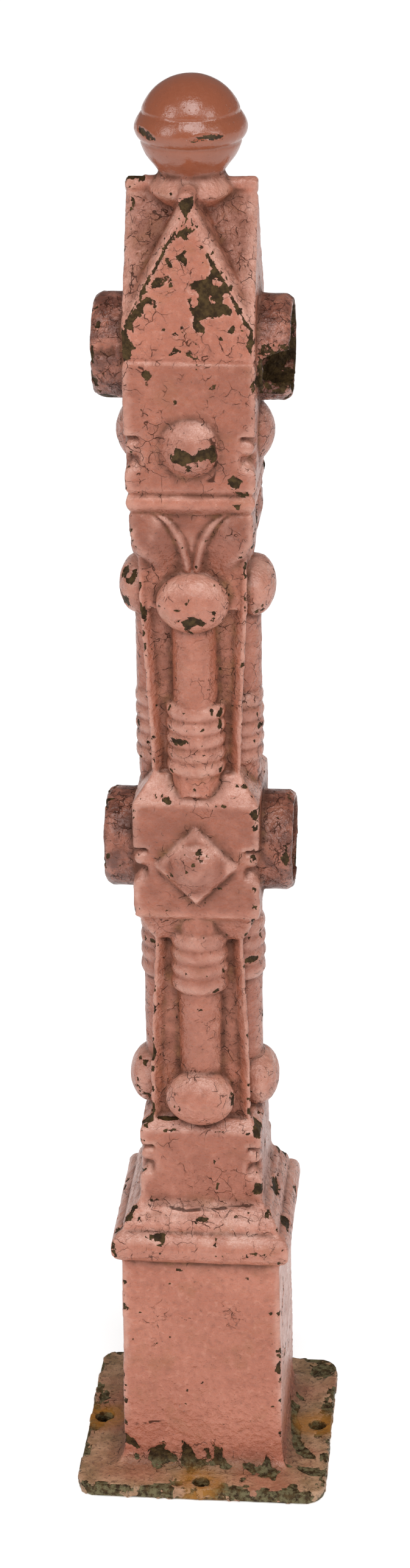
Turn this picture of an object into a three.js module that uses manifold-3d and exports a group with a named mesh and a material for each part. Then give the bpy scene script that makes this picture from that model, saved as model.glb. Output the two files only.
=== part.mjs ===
// A square cast-iron newel post for a railing, in millimetres, +Z up.
// The origin is the middle of the base plate's underside. The front is -Y; rails leave along -X and +X.
import * as THREE from 'three';
import { ConvexGeometry } from 'three/addons/geometries/ConvexGeometry.js';
import { mergeVertices } from 'three/addons/utils/BufferGeometryUtils.js';
import Module from 'manifold-3d';

const wasm = await Module();
wasm.setup();

// Base plate
const PLATE_HALF = 80.8;
const PLATE_THICK = 9;
const PLATE_CORNER_R = 14;
const BOLT_R = 5.6;
const BOLT_OFFSET = 71;

// Half widths of the square members
const PLINTH_FOOT = 51.5;
const PLINTH_TOP = 50.4;
const TORUS_HALF = 56.9;
const BLOCK_HALF = 38.6;
const ROLL_HALF = 38.2;
const CAPITAL_HALF = 36.6;

// Heights of the square members
const PLINTH_Z = 160.4;
const TORUS_Z = 171.5;
const TORUS_TOP_Z = 181.6;
const BLOCK_FOOT_Z = 199.6;
const BLOCK_TOP_Z = 249.2;
const LOWER_SHAFT_Z = 255;
const DADO_FOOT_Z = 404;
const DADO_TOP_Z = 474.6;
const UPPER_SHAFT_Z = 491;
const CAPITAL_FOOT_Z = 637;
const CAPITAL_TOP_Z = 661.5;
const ROLL_Z = 668.2;
const FRIEZE_FOOT_Z = 677;
const FRIEZE_TOP_Z = 750.2;
const GABLE_FOOT_Z = 754.4;

// Profiles of the mouldings between the square members, as half width and height
const PLINTH_COVE = [[60.5, PLATE_THICK], [55.6, 10.4], [52.8, 13.6], [PLINTH_FOOT, 19]];
const TORUS_RUN = 6.6;
const TORUS_RISE = 10.2;
const BLOCK_MOULDINGS = [
  [49.7, TORUS_TOP_Z + 0.6],
  [49.9, 184],
  [48.6, 187.4],
  [46.6, 190.6],
  [44.9, 191.6],
  [44.3, 193.8],
  [42.8, 195.6],
  [41.4, 196],
  [40.2, 198],
  [BLOCK_HALF + 0.4, BLOCK_FOOT_Z + 1.6],
];
const BLOCK_TOP = [[BLOCK_HALF - 0.5, BLOCK_TOP_Z], [BLOCK_HALF - 2, BLOCK_TOP_Z + 1.4]];
const LOWER_SHAFT = [[31.9, LOWER_SHAFT_Z], [30.7, 312], [27.2, 380]];
const DADO_CORBEL = [[28.4, 381.5], [30.4, 385], [33, 391.5], [35, 396.6], [BLOCK_HALF - 0.6, 399.6]];
const DADO = [[BLOCK_HALF + 0.3, DADO_FOOT_Z], [BLOCK_HALF - 0.2, DADO_TOP_Z]];
const DADO_SLOPE = [[36.6, 477], [29.4, 487]];
const UPPER_SHAFT = [[26.9, UPPER_SHAFT_Z], [28.1, 525], [32, 598], [32.7, CAPITAL_FOOT_Z]];
const ROLL_RUN = 2.6;
const ROLL_RISE = 5.2;
const ROLL_QUIRK = [34.9, 662.6];
const FRIEZE_FILLET = [[35.4, 673.7], [37.4, 674.8]];

// Recessed panels of the two shafts
const PANEL_BORDER = 1.6;
const PANEL_SLOPE_RUN = 5.4;
const PANEL_DEPTH = 4.6;

// Cross-gabled head
const GABLE_HALF = 38.4;
const EAVE_Z = 772;
const GABLE_FACE_APEX_Z = 844.3;
const RIDGE_Z = 855;
const GABLE_BEVEL = 3.6;
const VALLEY_FOOT = 30.2;
const RIDGE_R = 4.8;

// Ball finial
const BALL_R = 30.4;
const BALL_Z = 883.6;
const BAND = [
  [29.9, 877.8],
  [31.3, 879.2],
  [32.4, 881.4],
  [32.8, 884],
  [32.3, 886.6],
  [30.9, 889.4],
  [29.2, 891.8],
];
const NECK_R = 18.9;
const NECK_Z = 858.4;
const COLLAR_R = 24.8;
const COLLAR_Z = 848.5;
const COLLAR_UNDER = [[17, 840], [COLLAR_R - 1.4, COLLAR_Z - 2.4]];
const COLLAR_TOP = [[23.2, 851.2], [20.4, 855], [NECK_R, NECK_Z]];

// Rail sockets
const SOCKET_R = 31;
const SOCKET_BORE_R = 25.5;
const SOCKET_END = 58;
const SOCKET_FLOOR = 38.6;
const SOCKET_ROOT = 20;
const SOCKET_EDGE_R = 3.4;
const SOCKET_LEVELS = [436.8, 753.6];

// Bosses
const FRIEZE_BOSS_Z = 702.6;
const FRIEZE_BOSS_R = 18;
const FRIEZE_BOSS_HEIGHT = 8.7;
const BALL_BOSS_RADII = [21.8, 13, 18.4];
const BALL_BOSS_DEPTH = 34.5;
const BALL_BOSS_ROWS_DEG = [-52, -16, 14, 42, 66];
const BALL_BOSS_LEVELS = [272, 605.2];
const DIAMOND_Z = 434.6;
const DIAMOND_HALF = 27.6;
const DIAMOND_HEIGHT = 3.4;
const DIAMOND_BEVEL = 4.2;
const DIAMOND_DOME_R = 15.8;
const DIAMOND_DOME_HEIGHT = 6.2;

// Half-round colonnettes with rings
const COLONNETTE_R = 13.6;
const RING_HALF_WIDTH = 17.8;
const RING_REACH = 39.2;
const UPPER_RINGS = { axis: 24.6, foot: 493, pitch: 9, count: 5, column: [536, 600], block: [480, 494] };
const LOWER_RINGS = { axis: 23.6, foot: 345.6, pitch: 9.9, count: 4, column: [254.2, 347], block: [384, 398] };
const RING_GROOVE = 1.9;
const RING_BLOCK_SETBACK = 1.6;

// Beads set in notches at the block corners
const BEAD_LEVELS = [231, 438, 702.4];
const BEAD_R = 5.4;
const BEAD_INNER = 29.3;
const NOTCH_DEPTH_HALF = 33;
const NOTCH_ABOVE = 7.6;
const NOTCH_BELOW = 7.6;
const NOTCH_SLOPE = 6.6;

// Leaf capital
const CAPITAL_CORE = 33.6;
const LOBE_BULGE = [23, 38, 648];
const LOBE_EDGE_Z = 648;
const LOBE_TIP = [7, 30, 624];
const LEAF_V_HALF = 20;
const LEAF_V_TOP_Z = 660;
const LEAF_THROAT = 31.6;
const THROAT_FOOT_Z = 600;
const LEAF_RIB_R = 2.3;
const LEAF_RELIEF = 1.8;
const LEAF_PETAL_LENGTH = 21;

// Damage: the wall lost from the upper right socket and the dent in the upper left one
const BREAK_INNER_DEG = [-3, 33];
const BREAK_RIM_DEG = [-14, 38];
const BREAK_START = 42;
const DENT_LOW = [-56, -34, 755];
const DENT_HIGH = [-43, -28.6, 764.2];

const SOCKET_SIDES = 22;
const BALL_SIDES = 22;
const DOME_SIDES = 16;
const BOSS_SIDES = 13;
const COLUMN_SIDES = 12;
const RING_SIDES = 11;
const WELD = 1e-4;
const FACES = [0, 1, 2, 3];
const QUARTER = Math.PI / 2;

// A closed solid from any closed geometry, with its faces turned outwards.
function solid(geometry) {
  const bare = new THREE.BufferGeometry();
  const loose = geometry.index ? geometry.toNonIndexed() : geometry;
  bare.setAttribute('position', loose.getAttribute('position'));
  const merged = mergeVertices(bare, WELD);
  const position = merged.getAttribute('position').array;
  const corners = merged.index.array;
  const triangles = [];
  const p = [new THREE.Vector3(), new THREE.Vector3(), new THREE.Vector3()];
  let volume = 0;
  for (let i = 0; i < corners.length; i += 3) {
    const [a, b, c] = [corners[i], corners[i + 1], corners[i + 2]];
    if (a === b || b === c || c === a) continue;
    triangles.push(a, b, c);
    [a, b, c].forEach((v, k) => p[k].fromArray(position, 3 * v));
    volume += p[0].dot(p[1].clone().cross(p[2]));
  }
  if (volume < 0) triangles.reverse();
  const vertProperties = Float32Array.from(position);
  const triVerts = Uint32Array.from(triangles);
  return new wasm.Manifold(new wasm.Mesh({ numProp: 3, vertProperties, triVerts }));
}

function join(solids) {
  return solids.reduce((sum, next) => sum.add(next));
}

// A profile of [radius, height] pairs turned about Z.
function turned(profile, segments, start = 0) {
  const points = profile.map(([r, z]) => new THREE.Vector2(r, z));
  return new THREE.LatheGeometry(points, segments, start).rotateX(QUARTER);
}

// A profile of [half width, height] pairs carried round a square with mitred corners.
function squareTurned(profile) {
  return turned(profile.map(([half, z]) => [half * Math.SQRT2, z]), 4, Math.PI / 4);
}

function box(low, high) {
  const [a, b] = [new THREE.Vector3(...low), new THREE.Vector3(...high)];
  const size = b.clone().sub(a);
  const middle = a.add(b).multiplyScalar(0.5);
  return new THREE.BoxGeometry(size.x, size.y, size.z).translate(middle.x, middle.y, middle.z);
}

// The same geometry on the front face and on the three others.
function onFaces(make, faces = FACES) {
  return faces.map((k) => solid(make().rotateZ(k * QUARTER)));
}

// A shape drawn in x and z on the front face and carried from one depth to another.
function faceExtrude(outline, inner, outer) {
  const shape = new THREE.Shape(outline.map(([x, z]) => new THREE.Vector2(x, z)));
  const geometry = new THREE.ExtrudeGeometry(shape, { depth: outer - inner, bevelEnabled: false });
  return geometry.rotateX(QUARTER).translate(0, -inner, 0);
}

// Points of a rounded member between two angles, in degrees from straight out, positive upwards.
function arc(half, z, rx, rz, fromDeg, toDeg, steps) {
  return Array.from({ length: steps + 1 }, (_, i) => {
    const a = THREE.MathUtils.degToRad(fromDeg + ((toDeg - fromDeg) * i) / steps);
    return [half - rx + rx * Math.cos(a), z + rz * Math.sin(a)];
  });
}

// Plate with rounded corners and four bolt holes.
function plate() {
  const flat = PLATE_HALF - PLATE_CORNER_R;
  const shape = new THREE.Shape();
  FACES.forEach((k) => {
    const start = k * QUARTER;
    const middle = start + Math.PI / 4;
    const x = Math.SQRT2 * flat * Math.cos(middle);
    const y = Math.SQRT2 * flat * Math.sin(middle);
    shape.absarc(x, y, PLATE_CORNER_R, start, start + QUARTER, false);
  });
  FACES.forEach((k) => {
    const hole = new THREE.Path();
    const x = BOLT_OFFSET * Math.cos(k * QUARTER);
    const y = BOLT_OFFSET * Math.sin(k * QUARTER);
    hole.absarc(x, y, BOLT_R, 0, 2 * Math.PI, true);
    shape.holes.push(hole);
  });
  return new THREE.ExtrudeGeometry(shape, { depth: PLATE_THICK, bevelEnabled: false, curveSegments: 8 });
}

// Everything square, from the plinth's foot to the foot of the gables, as one profile.
function squareStack() {
  const [coveHalf] = PLINTH_COVE[0];
  const torus = arc(TORUS_HALF, TORUS_Z, TORUS_RUN, TORUS_RISE, -80, 78, 6);
  const capital = [
    [CAPITAL_CORE, CAPITAL_FOOT_Z + 3],
    [CAPITAL_CORE, LEAF_V_TOP_Z],
    [CAPITAL_HALF - 0.6, CAPITAL_TOP_Z],
  ];
  const roll = arc(ROLL_HALF, ROLL_Z, ROLL_RUN, ROLL_RISE, -70, 70, 4);
  const frieze = [[BLOCK_HALF - 0.2, FRIEZE_FOOT_Z], [BLOCK_HALF, FRIEZE_TOP_Z]];
  return [
    [0, PLATE_THICK / 2],
    [coveHalf, PLATE_THICK / 2],
    ...PLINTH_COVE,
    [PLINTH_TOP, PLINTH_Z],
    ...torus,
    ...BLOCK_MOULDINGS,
    ...BLOCK_TOP,
    ...LOWER_SHAFT,
    ...DADO_CORBEL,
    ...DADO,
    ...DADO_SLOPE,
    ...UPPER_SHAFT,
    ...capital,
    ROLL_QUIRK,
    ...roll,
    ...FRIEZE_FILLET,
    ...frieze,
    [GABLE_HALF - 0.6, GABLE_FOOT_Z],
    [0, GABLE_FOOT_Z],
  ];
}

// One sunk panel of a shaft with sloping sides, as the solid to take away.
function shaftPanel(shaft) {
  const lift = 3;
  const spread = (PANEL_SLOPE_RUN * lift) / PANEL_DEPTH;
  const section = ([half, z]) => {
    const floor = half - PANEL_BORDER - PANEL_SLOPE_RUN;
    const mouth = half - PANEL_BORDER + spread;
    const corners = [[floor, half - PANEL_DEPTH], [mouth, half + lift]];
    return corners.flatMap(([x, d]) => [new THREE.Vector3(x, -d, z), new THREE.Vector3(-x, -d, z)]);
  };
  return shaft.slice(1).map((end, i) => new ConvexGeometry([...section(shaft[i]), ...section(end)]));
}

// One colonnette with its stack of rings; the block closes the ring end of the column.
function ringedColumn(rings) {
  const [low, high] = rings.column;
  const [blockLow, blockHigh] = rings.block;
  const top = rings.foot + rings.pitch * rings.count;
  const reach = RING_REACH - rings.axis;
  const profile = [[0, rings.foot]];
  for (let i = 0; i < rings.count; i += 1) {
    const middle = rings.foot + rings.pitch * (i + 0.5);
    profile.push(...arc(reach, middle, RING_GROOVE, rings.pitch / 2, -90, 90, 3).slice(i ? 1 : 0));
  }
  profile.push([0, top]);
  const widen = RING_HALF_WIDTH / reach;
  const stack = turned(profile, RING_SIDES).scale(widen, 1, 1).translate(0, -rings.axis, 0);
  const shaft = turned([[0, low], [COLONNETTE_R, low], [COLONNETTE_R, high], [0, high]], COLUMN_SIDES);
  const blockR = reach - RING_BLOCK_SETBACK;
  const blockLine = [[0, blockLow], [blockR, blockLow], [blockR, blockHigh], [0, blockHigh]];
  const block = turned(blockLine, COLUMN_SIDES);
  block.scale(widen, 1, 1).translate(0, -rings.axis, 0);
  return [stack, shaft.translate(0, -rings.axis, 0), block];
}

// The four corners of the post, where the notches and beads are kept.
function cornerColumns() {
  const far = BLOCK_HALF + 8;
  const bottom = BLOCK_FOOT_Z;
  const top = FRIEZE_TOP_Z;
  return join(onFaces(() => box([BEAD_INNER, BEAD_INNER, bottom], [far, far, top])));
}

// Notch round the block with a sloping shelf, as the solid to take away.
function notchRing(z) {
  const far = BLOCK_HALF + 4;
  const shelf = z - NOTCH_BELOW;
  const slope = NOTCH_SLOPE / (BLOCK_HALF - NOTCH_DEPTH_HALF);
  const outerFoot = shelf - slope * (far - NOTCH_DEPTH_HALF);
  const top = z + NOTCH_ABOVE;
  const start = [NOTCH_DEPTH_HALF, shelf];
  return squareTurned([start, [far, outerFoot], [far, top], [NOTCH_DEPTH_HALF, top], start]);
}

// Half-round bead round the block.
function beadRing(z) {
  const curve = arc(BLOCK_HALF - 0.2, z, BEAD_R, BEAD_R, -90, 90, 4);
  const back = NOTCH_DEPTH_HALF - 2;
  return squareTurned([[back, z - BEAD_R], ...curve, [back, z + BEAD_R], [back, z - BEAD_R]]);
}

// Roof with its ridge along Y: bevelled gable faces and slopes down to the eaves.
function roof() {
  const inner = GABLE_HALF - GABLE_BEVEL;
  const pitch = (GABLE_FACE_APEX_Z - EAVE_Z) / GABLE_HALF;
  const points = [];
  [-1, 1].forEach((sy) => {
    points.push(new THREE.Vector3(0, sy * inner, RIDGE_Z));
    points.push(new THREE.Vector3(0, sy * GABLE_HALF, GABLE_FACE_APEX_Z));
    [-1, 1].forEach((sx) => {
      points.push(new THREE.Vector3(sx * VALLEY_FOOT, sy * VALLEY_FOOT, RIDGE_Z - pitch * VALLEY_FOOT));
      points.push(new THREE.Vector3(sx * GABLE_HALF, sy * GABLE_HALF, EAVE_Z));
      points.push(new THREE.Vector3(sx * GABLE_HALF, sy * GABLE_HALF, FRIEZE_TOP_Z + 3));
    });
  });
  return new ConvexGeometry(points);
}

// Rounded roll along a ridge, with half-round ends flush with the gables.
function ridgeRoll() {
  const end = GABLE_HALF - 1.4;
  const cap = arc(RIDGE_R, end, RIDGE_R, 1.4, 0, 90, 3);
  const foot = [...cap].reverse().map(([r, z]) => [r, -z]);
  return turned([...foot, ...cap], COLUMN_SIDES).rotateX(QUARTER).translate(0, 0, RIDGE_Z - RIDGE_R);
}

// Collar, neck and ball with its band.
function finial() {
  const ballAt = (z) => [Math.sqrt(BALL_R ** 2 - (z - BALL_Z) ** 2), z];
  const low = [0.25, 0.55].map((t) => ballAt(THREE.MathUtils.lerp(NECK_Z + 1, BAND[0][1], t)));
  const high = Array.from({ length: 5 }, (_, i) => {
    const start = Math.asin((BAND.at(-1)[1] + 1.6 - BALL_Z) / BALL_R);
    const a = THREE.MathUtils.lerp(start, QUARTER, i / 5);
    return [BALL_R * Math.cos(a), BALL_Z + BALL_R * Math.sin(a)];
  });
  const collar = [[0, COLLAR_UNDER[0][1]], ...COLLAR_UNDER, [COLLAR_R, COLLAR_Z], ...COLLAR_TOP];
  return turned([...collar, ...low, ...BAND, ...high, [0, BALL_Z + BALL_R]], BALL_SIDES);
}

// Socket tube on +X, turned about X, with a rounded mouth.
function socketTube(z) {
  const mouth = [[SOCKET_R, SOCKET_END - SOCKET_EDGE_R], [SOCKET_R - SOCKET_EDGE_R * 0.7, SOCKET_END]];
  const outer = [[0, SOCKET_ROOT], [SOCKET_R, SOCKET_ROOT]];
  const bore = [[SOCKET_BORE_R, SOCKET_END], [SOCKET_BORE_R, SOCKET_FLOOR], [0, SOCKET_FLOOR]];
  const profile = [...outer, ...mouth, ...bore];
  return turned(profile, SOCKET_SIDES).rotateY(QUARTER).translate(0, 0, z);
}

// Socket bore on +X as the solid to take away.
function socketBore(z) {
  const past = SOCKET_END + 10;
  const profile = [[0, SOCKET_FLOOR], [SOCKET_BORE_R, SOCKET_FLOOR], [SOCKET_BORE_R, past], [0, past]];
  return turned(profile, SOCKET_SIDES).rotateY(QUARTER).translate(0, 0, z);
}

// Ragged wedge of wall lost from the upper right socket, from the front downwards.
function brokenWall() {
  const z = SOCKET_LEVELS[1];
  const reach = SOCKET_R + 8;
  const inner = SOCKET_BORE_R - 6;
  const points = [];
  [[BREAK_START, BREAK_INNER_DEG], [SOCKET_END + 4, BREAK_RIM_DEG]].forEach(([x, [from, to]]) => {
    [0, 0.5, 1].forEach((t) => {
      const a = THREE.MathUtils.degToRad(THREE.MathUtils.lerp(from, to, t));
      [inner, reach].forEach((r) => {
        points.push(new THREE.Vector3(x, -r * Math.cos(a), z - r * Math.sin(a)));
      });
    });
  });
  return new ConvexGeometry(points);
}

// Diamond with bevelled edges and a low dome, on the front of the dado.
function diamondBoss() {
  const base = BLOCK_HALF - 1;
  const top = BLOCK_HALF + DIAMOND_HEIGHT;
  const points = [];
  [[DIAMOND_HALF, base], [DIAMOND_HALF - DIAMOND_BEVEL, top]].forEach(([half, depth]) => {
    [[half, 0], [0, half], [-half, 0], [0, -half]].forEach(([x, z]) => {
      points.push(new THREE.Vector3(x, -depth, DIAMOND_Z + z));
    });
  });
  return new ConvexGeometry(points);
}

// Low dome of given radius and height, seated at a depth from the axis.
function domeBoss(z, r, height, seat) {
  const radius = (r * r + height * height) / (2 * height);
  const span = Math.asin(r / radius);
  const profile = Array.from({ length: 5 }, (_, i) => {
    const a = span * (1 - i / 4);
    return [i < 4 ? radius * Math.sin(a) : 0, radius * (Math.cos(a) - 1) + height];
  });
  const root = -DIAMOND_HEIGHT;
  const closed = [[0, root], [r, root], ...profile];
  return turned(closed, DOME_SIDES).rotateX(QUARTER).translate(0, -seat, z);
}

// Flattened ball on a colonnette, turned about the face's normal.
function ballBoss(z) {
  const [rx, ry, rz] = BALL_BOSS_RADII;
  const rows = BALL_BOSS_ROWS_DEG.map((deg) => {
    const a = THREE.MathUtils.degToRad(deg);
    return [Math.cos(a), BALL_BOSS_DEPTH + ry * Math.sin(a)];
  });
  const profile = [[0, rows[0][1]], ...rows, [0, BALL_BOSS_DEPTH + ry]];
  return turned(profile, BOSS_SIDES).rotateX(QUARTER).scale(rx, 1, rz).translate(0, 0, z);
}

// Material between the capital and the ball below it, behind the leaves, sloping in behind the ball.
function leafThroat() {
  const half = UPPER_SHAFT.at(-1)[0] - PANEL_BORDER;
  const top = CAPITAL_FOOT_Z + 4;
  const ballTop = BALL_BOSS_LEVELS[1] + BALL_BOSS_RADII[2];
  const foot = [[0, THROAT_FOOT_Z], [half - PANEL_DEPTH, THROAT_FOOT_Z]];
  const section = [...foot, [LEAF_THROAT, ballTop], [LEAF_THROAT, top], [0, top]];
  const points = section.flatMap(([d, z]) => [new THREE.Vector3(half, -d, z), new THREE.Vector3(-half, -d, z)]);
  return new ConvexGeometry(points);
}

// Leaf capital on the front: a swelling lobe from the corner to the V in the middle.
function leafLobe(side) {
  const [tipX, tipDepth, tipZ] = LOBE_TIP;
  const outer = [0, 0.34, 0.67].map((t) => {
    const a = t * QUARTER;
    const x = tipX + (CAPITAL_HALF - tipX) * Math.cos(a);
    const z = LOBE_EDGE_Z - (LOBE_EDGE_Z - tipZ) * Math.sin(a);
    return [x, tipDepth + (CAPITAL_HALF - tipDepth) * Math.cos(a), z];
  });
  const inner = [0, 0.5, 1].map((t) => {
    const x = tipX + (LEAF_V_HALF - tipX) * t ** 1.5;
    const depth = tipDepth + (CAPITAL_HALF - tipDepth) * Math.sin(t * QUARTER);
    return [x, depth, THREE.MathUtils.lerp(tipZ, LEAF_V_TOP_Z, t)];
  });
  const edge = [...outer, ...inner, [CAPITAL_HALF, CAPITAL_HALF - 0.4, LEAF_V_TOP_Z]];
  const back = edge.map(([x, , z]) => [x, tipDepth - 3, z]);
  const points = [...edge, LOBE_BULGE, ...back].map(([x, d, z]) => new THREE.Vector3(side * x, -d, z));
  return new ConvexGeometry(points);
}

// Rib in the V between the lobes.
function leafRib(side) {
  const [seat, crest] = [1 - LEAF_THROAT, -CAPITAL_CORE - LEAF_RELIEF];
  const [foot, top] = [[side * 1.2, LOBE_TIP[2] + 4], [side * LEAF_V_HALF * 0.72, LEAF_V_TOP_Z]];
  const points = [foot, top].flatMap(([x, z]) => [
    new THREE.Vector3(x - LEAF_RIB_R, seat, z),
    new THREE.Vector3(x + LEAF_RIB_R, seat, z),
    new THREE.Vector3(x, crest, z),
  ]);
  return new ConvexGeometry(points);
}

// Pointed petal at the top of the V.
function leafPetal() {
  const half = LEAF_V_HALF / 2;
  const outline = [[-half, LEAF_V_TOP_Z], [0, LEAF_V_TOP_Z - LEAF_PETAL_LENGTH], [half, LEAF_V_TOP_Z]];
  return faceExtrude(outline, LEAF_THROAT, CAPITAL_CORE + LEAF_RELIEF * 0.6);
}

function newelPost() {
  const corners = cornerColumns();
  let post = solid(plate()).add(solid(squareTurned(squareStack())));
  [LOWER_SHAFT, UPPER_SHAFT].forEach((shaft) => {
    shaft.slice(1).forEach((_, i) => {
      post = post.subtract(join(onFaces(() => shaftPanel(shaft)[i])));
    });
  });
  BEAD_LEVELS.forEach((z) => {
    post = post.subtract(solid(notchRing(z)).intersect(corners));
    post = post.add(solid(beadRing(z)).intersect(corners));
  });
  post = post.add(join(onFaces(leafThroat)));
  [-1, 1].forEach((side) => {
    post = post.add(join(onFaces(() => leafLobe(side))));
  });
  post = post.add(join(onFaces(leafPetal)));
  [-1, 1].forEach((side) => {
    post = post.add(join(onFaces(() => leafRib(side))));
  });
  [0, 1, 2].forEach((i) => {
    post = post.add(join(onFaces(() => ringedColumn(UPPER_RINGS)[i])));
    post = post.add(join(onFaces(() => ringedColumn(LOWER_RINGS)[i])));
  });
  BALL_BOSS_LEVELS.forEach((z) => {
    post = post.add(join(onFaces(() => ballBoss(z))));
  });
  const friezeBoss = () => domeBoss(FRIEZE_BOSS_Z, FRIEZE_BOSS_R, FRIEZE_BOSS_HEIGHT, BLOCK_HALF - 0.1);
  const diamondSeat = BLOCK_HALF + DIAMOND_HEIGHT;
  const diamondDome = () => domeBoss(DIAMOND_Z, DIAMOND_DOME_R, DIAMOND_DOME_HEIGHT, diamondSeat);
  post = post.add(join(onFaces(friezeBoss)));
  post = post.add(join(onFaces(diamondBoss, [0, 2])));
  post = post.add(join(onFaces(diamondDome, [0, 2])));
  post = post.add(join(onFaces(roof, [0, 1])));
  post = post.add(join(onFaces(ridgeRoll, [0, 1])));
  post = post.add(solid(finial()));
  SOCKET_LEVELS.forEach((z) => {
    post = post.add(join(onFaces(() => socketTube(z), [0, 2])));
    post = post.subtract(join(onFaces(() => socketBore(z), [0, 2])));
  });
  post = post.subtract(solid(brokenWall()));
  return post.subtract(solid(box(DENT_LOW, DENT_HIGH)));
}

function toGeometry(body) {
  const mesh = body.getMesh();
  const geometry = new THREE.BufferGeometry();
  geometry.setAttribute('position', new THREE.BufferAttribute(Float32Array.from(mesh.vertProperties), 3));
  geometry.setIndex(new THREE.BufferAttribute(Uint32Array.from(mesh.triVerts), 1));
  geometry.computeVertexNormals();
  return geometry;
}

const paint = new THREE.MeshStandardMaterial({ color: 0xbd7b68, roughness: 0.55, metalness: 0 });
const post = new THREE.Mesh(toGeometry(newelPost()), paint);
post.name = 'newel_post';

const group = new THREE.Group();
group.add(post);

export default group;
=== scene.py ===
"""Looks for a painted cast-iron railing newel post: one casting with old cracked and chipped paint."""
import math

import bpy
import numpy as np
from mathutils import Matrix, Vector


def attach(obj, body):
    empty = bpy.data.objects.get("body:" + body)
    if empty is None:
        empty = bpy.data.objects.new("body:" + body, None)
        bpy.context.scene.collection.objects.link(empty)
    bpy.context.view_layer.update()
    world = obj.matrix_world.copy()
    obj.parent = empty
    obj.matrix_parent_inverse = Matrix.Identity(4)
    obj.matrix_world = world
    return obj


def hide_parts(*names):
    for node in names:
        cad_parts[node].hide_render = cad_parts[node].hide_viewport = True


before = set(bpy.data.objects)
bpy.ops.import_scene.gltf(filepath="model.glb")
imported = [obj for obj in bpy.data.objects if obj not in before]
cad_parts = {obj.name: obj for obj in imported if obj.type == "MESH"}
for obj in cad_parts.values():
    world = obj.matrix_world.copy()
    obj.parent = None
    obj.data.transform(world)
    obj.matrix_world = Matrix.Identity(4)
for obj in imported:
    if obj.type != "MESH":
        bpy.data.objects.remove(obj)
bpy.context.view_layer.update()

# All sizes in millimetres in the part's frame; the front is -Y.
MM = 0.001
VOXEL = 1.0
TRIANGLES = 196000

BALL_R, BALL_Z = 30.4, 883.6
BAND = [(29.9, 877.8), (31.3, 879.2), (32.4, 881.4), (32.8, 884), (32.3, 886.6), (30.9, 889.4), (29.2, 891.8)]
COLLAR = [(0, 842), (17.5, 842), (23.4, 846.1), (24.8, 848.5), (23.2, 851.2), (20.4, 855), (18.9, 858.4)]
SOCKET_R, SOCKET_BORE_R, SOCKET_LEVELS = 31.0, 25.5, (436.8, 753.6)
BOSS_RADII, BOSS_DEPTH, BOSS_LEVELS = (21.8, 13.0, 18.4), 34.5, (272.0, 605.2)
COLUMN_R, RING_HALF_WIDTH, RING_REACH, RING_GROOVE = 13.6, 17.8, 39.2, 1.9
UPPER_RINGS = dict(axis=24.6, foot=493.0, pitch=9.0, count=5, column=(536, 600))
LOWER_RINGS = dict(axis=23.6, foot=345.6, pitch=9.9, count=4, column=(256, 347))
DOMES = [(702.6, 18.0, 8.7, 38.5, range(4)), (434.6, 15.8, 6.2, 42.0, (0, 2))]
RIDGE_R, RIDGE_Z, RIDGE_END = 4.8, 850.2, 37.0
BREAK_DEG = (-14.0, 38.0)
BALL_GROOVES = (876.6, 893.2)
BEAD_LEVELS = (231.0, 438.0, 702.4)
BOLTS = [(71, 0), (-71, 0), (0, 71), (0, -71)]
# Depths of the paint's relief.
PAINT_THICKNESS, SEAM_DEPTH, GROOVE_DEPTH, LIFT_HEIGHT = 0.55, 1.2, 0.7, 0.5
# Distance given to points far from every chip and line.
FAR = 40.0
# Points before these depths are on the front of the post, of the gable and of the plinth.
FRONT_Y, GABLE_Y, PLINTH_Y = -24, -36.5, -45
# Heights over which the paint turns into the smoother paint of the ball.
BALL_PAINT = (856, 862)

# Small chips in the paint on the front: middle x and z, half width and half height.
FRONT_CHIPS = [
    (-8.4, 729.9, 1.1, 1.1), (37.6, 742.4, 1.1, 4.4), (-35.8, 643.0, 1.1, 2.6), (-8.4, 515.6, 3.8, 2.4),
    (-17.3, 476.7, 3.3, 1.9), (2.7, 446.3, 2.6, 1.9), (1.0, 443.3, 0.8, 0.8), (4.3, 440.8, 0.8, 0.8),
    (7.5, 443.3, 0.8, 0.8), (-2.0, 439.7, 0.8, 0.8), (-38.0, 402.0, 1.2, 5.0), (33.5, 396.4, 1.9, 2.6),
    (35.4, 250.0, 3.4, 4.6), (9.9, 229.0, 1.2, 2.2), (34.9, 208.0, 3.9, 4.4), (11.3, 209.7, 1.2, 1.8),
    (-37.6, 189.2, 1.6, 0.8), (0.1, 189.7, 3.5, 1.1), (-27.0, 179.7, 4.7, 2.6), (10.3, 179.3, 1.5, 1.8),
    (36.4, 171.5, 4.3, 1.2), (-55.3, 168.8, 1.6, 5.0), (49.6, 83.4, 1.0, 5.5),
]
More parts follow.
